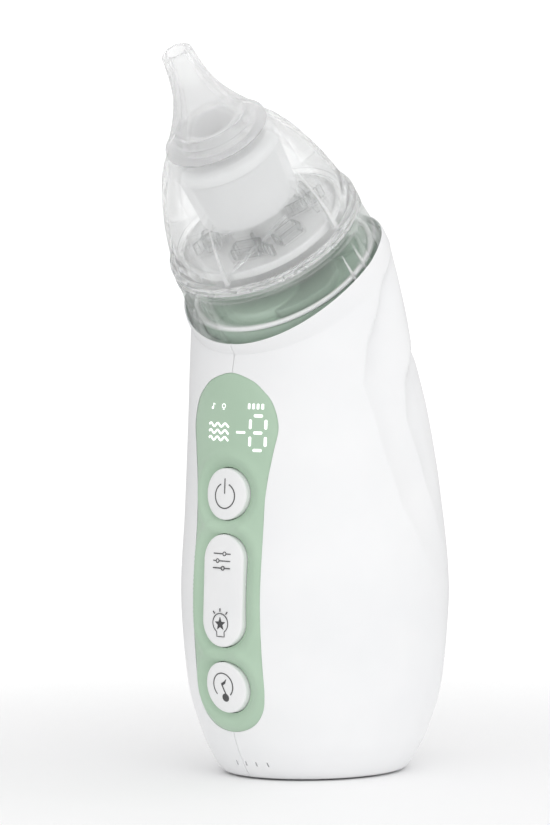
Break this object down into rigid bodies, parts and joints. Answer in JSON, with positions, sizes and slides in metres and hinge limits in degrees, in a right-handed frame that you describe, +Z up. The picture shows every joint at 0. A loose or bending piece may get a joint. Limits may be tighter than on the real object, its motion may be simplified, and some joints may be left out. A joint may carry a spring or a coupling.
{
  "type": "nasal aspirator",
  "caption": "Hand-held electric baby nasal aspirator with a tilted clear collection cup, soft silicone nozzle, push buttons, a display and an internal vacuum pump.",
  "frame": {"origin": "middle of the foot pad's underside, on the table the aspirator stands on", "axes": "+Z up along the body, -Y the control panel's side and the way the nozzle leans, +X across the body"},
  "size_m": [0.0602, 0.0884, 0.1747],
  "materials": {
    "white_abs": "fine satin",
    "sage_soft_touch": "soft touch",
    "button_white": "satin",
    "foot_rubber": "matte",
    "circuit_board": "solder mask",
    "display_white": "diffusing",
    "steel": "plain",
    "dark_plastic": "moulded",
    "plunger_rubber": "matte",
    "battery_wrap": "shrink wrap",
    "inner_white": "moulded",
    "winding": "lacquered",
    "soft_sleeve": "foam rubber",
    "hose_silicone": "translucent",
    "deck_green": "smooth",
    "clear_cup": "clear polished plastic",
    "clear_dome": "clear polished plastic",
    "seal_silicone": "translucent",
    "duct_frosted": "frosted",
    "nozzle_silicone": "translucent, smooth"
  },
  "bodies": {
    "housing": {"shell_left": "white_abs", "shell_right": "white_abs", "control_panel": "sage_soft_touch", "foot_pad": "foot_rubber", "control_board": "circuit_board", "display_module": "display_white", "board_screw_1": "steel", "board_screw_2": "steel", "switch_power": "dark_plastic", "switch_mode": "dark_plastic", "switch_light": "dark_plastic", "switch_music": "dark_plastic", "speaker": "dark_plastic", "battery_cell": "battery_wrap", "battery_holder": "dark_plastic", "inner_frame": "inner_white", "charging_board": "circuit_board", "usb_c_port": "steel", "motor_can": "steel", "motor_end_cap": "dark_plastic", "motor_magnet": "winding", "pump_crankcase": "dark_plastic", "wobble_plate": "inner_white", "diaphragm": "hose_silicone", "valve_plate": "dark_plastic", "pump_head": "dark_plastic", "pump_screw_1": "steel", "pump_screw_2": "steel", "pump_screw_3": "steel", "pump_sleeve": "soft_sleeve", "exhaust_silencer": "soft_sleeve", "suction_hose": "hose_silicone", "deck": "deck_green", "cup_seal": "seal_silicone", "light_board": "circuit_board"},
    "power_button": {"button_power": "button_white", "plunger_power": "plunger_rubber"},
    "rocker_button": {"button_rocker": "button_white", "plunger_mode": "plunger_rubber", "plunger_light": "plunger_rubber"},
    "music_button": {"button_music": "button_white", "plunger_music": "plunger_rubber"},
    "motor_rotor": {"motor_armature": "winding", "motor_shaft": "steel", "eccentric_wheel": "inner_white"},
    "cup_carrier": {"dome_seal": "seal_silicone"},
    "collection_cup": {"lower_cup": "clear_cup", "separator": "clear_cup"},
    "dome_cap": {"dome": "clear_dome", "inner_duct": "duct_frosted"},
    "nozzle_tip": {"nozzle": "nozzle_silicone"}
  },
  "joints": [
    {"name": "power_press", "type": "slide", "parent": "housing", "child": "power_button", "axis": [0, 1, 0], "range_m": [0, 0.00045], "stiffness_N_per_m": 1500, "springref_m": -0.0005},
    {"name": "music_press", "type": "slide", "parent": "housing", "child": "music_button", "axis": [0, 1, 0], "range_m": [0, 0.00045], "stiffness_N_per_m": 1500, "springref_m": -0.0005},
    {"name": "mode_light_rock", "type": "hinge", "parent": "housing", "child": "rocker_button", "pos_m": [0, -0.03145, 0.0457], "axis": [1, 0, 0], "range_deg": [-2, 2], "stiffness_Nm_per_rad": 0.3},
    {"name": "motor_spin", "type": "hinge", "parent": "housing", "child": "motor_rotor", "pos_m": [0, -0.0093, 0.03], "axis": [0, 0, 1], "continuous": true},
    {"name": "cup_lift", "type": "slide", "parent": "housing", "child": "cup_carrier", "axis": [0, -0.5948, 0.8039], "range_m": [0, 0.04]},
    {"name": "cup_twist", "type": "hinge", "parent": "cup_carrier", "child": "collection_cup", "pos_m": [0, -0.0173, 0.1279], "axis": [0, -0.5948, 0.8039], "range_deg": [0, 30]},
    {"name": "dome_lift", "type": "slide", "parent": "collection_cup", "child": "dome_cap", "axis": [0, -0.5948, 0.8039], "range_m": [0, 0.045]},
    {"name": "nozzle_pull", "type": "slide", "parent": "dome_cap", "child": "nozzle_tip", "axis": [0, -0.5948, 0.8039], "range_m": [0, 0.025]}
  ]
}
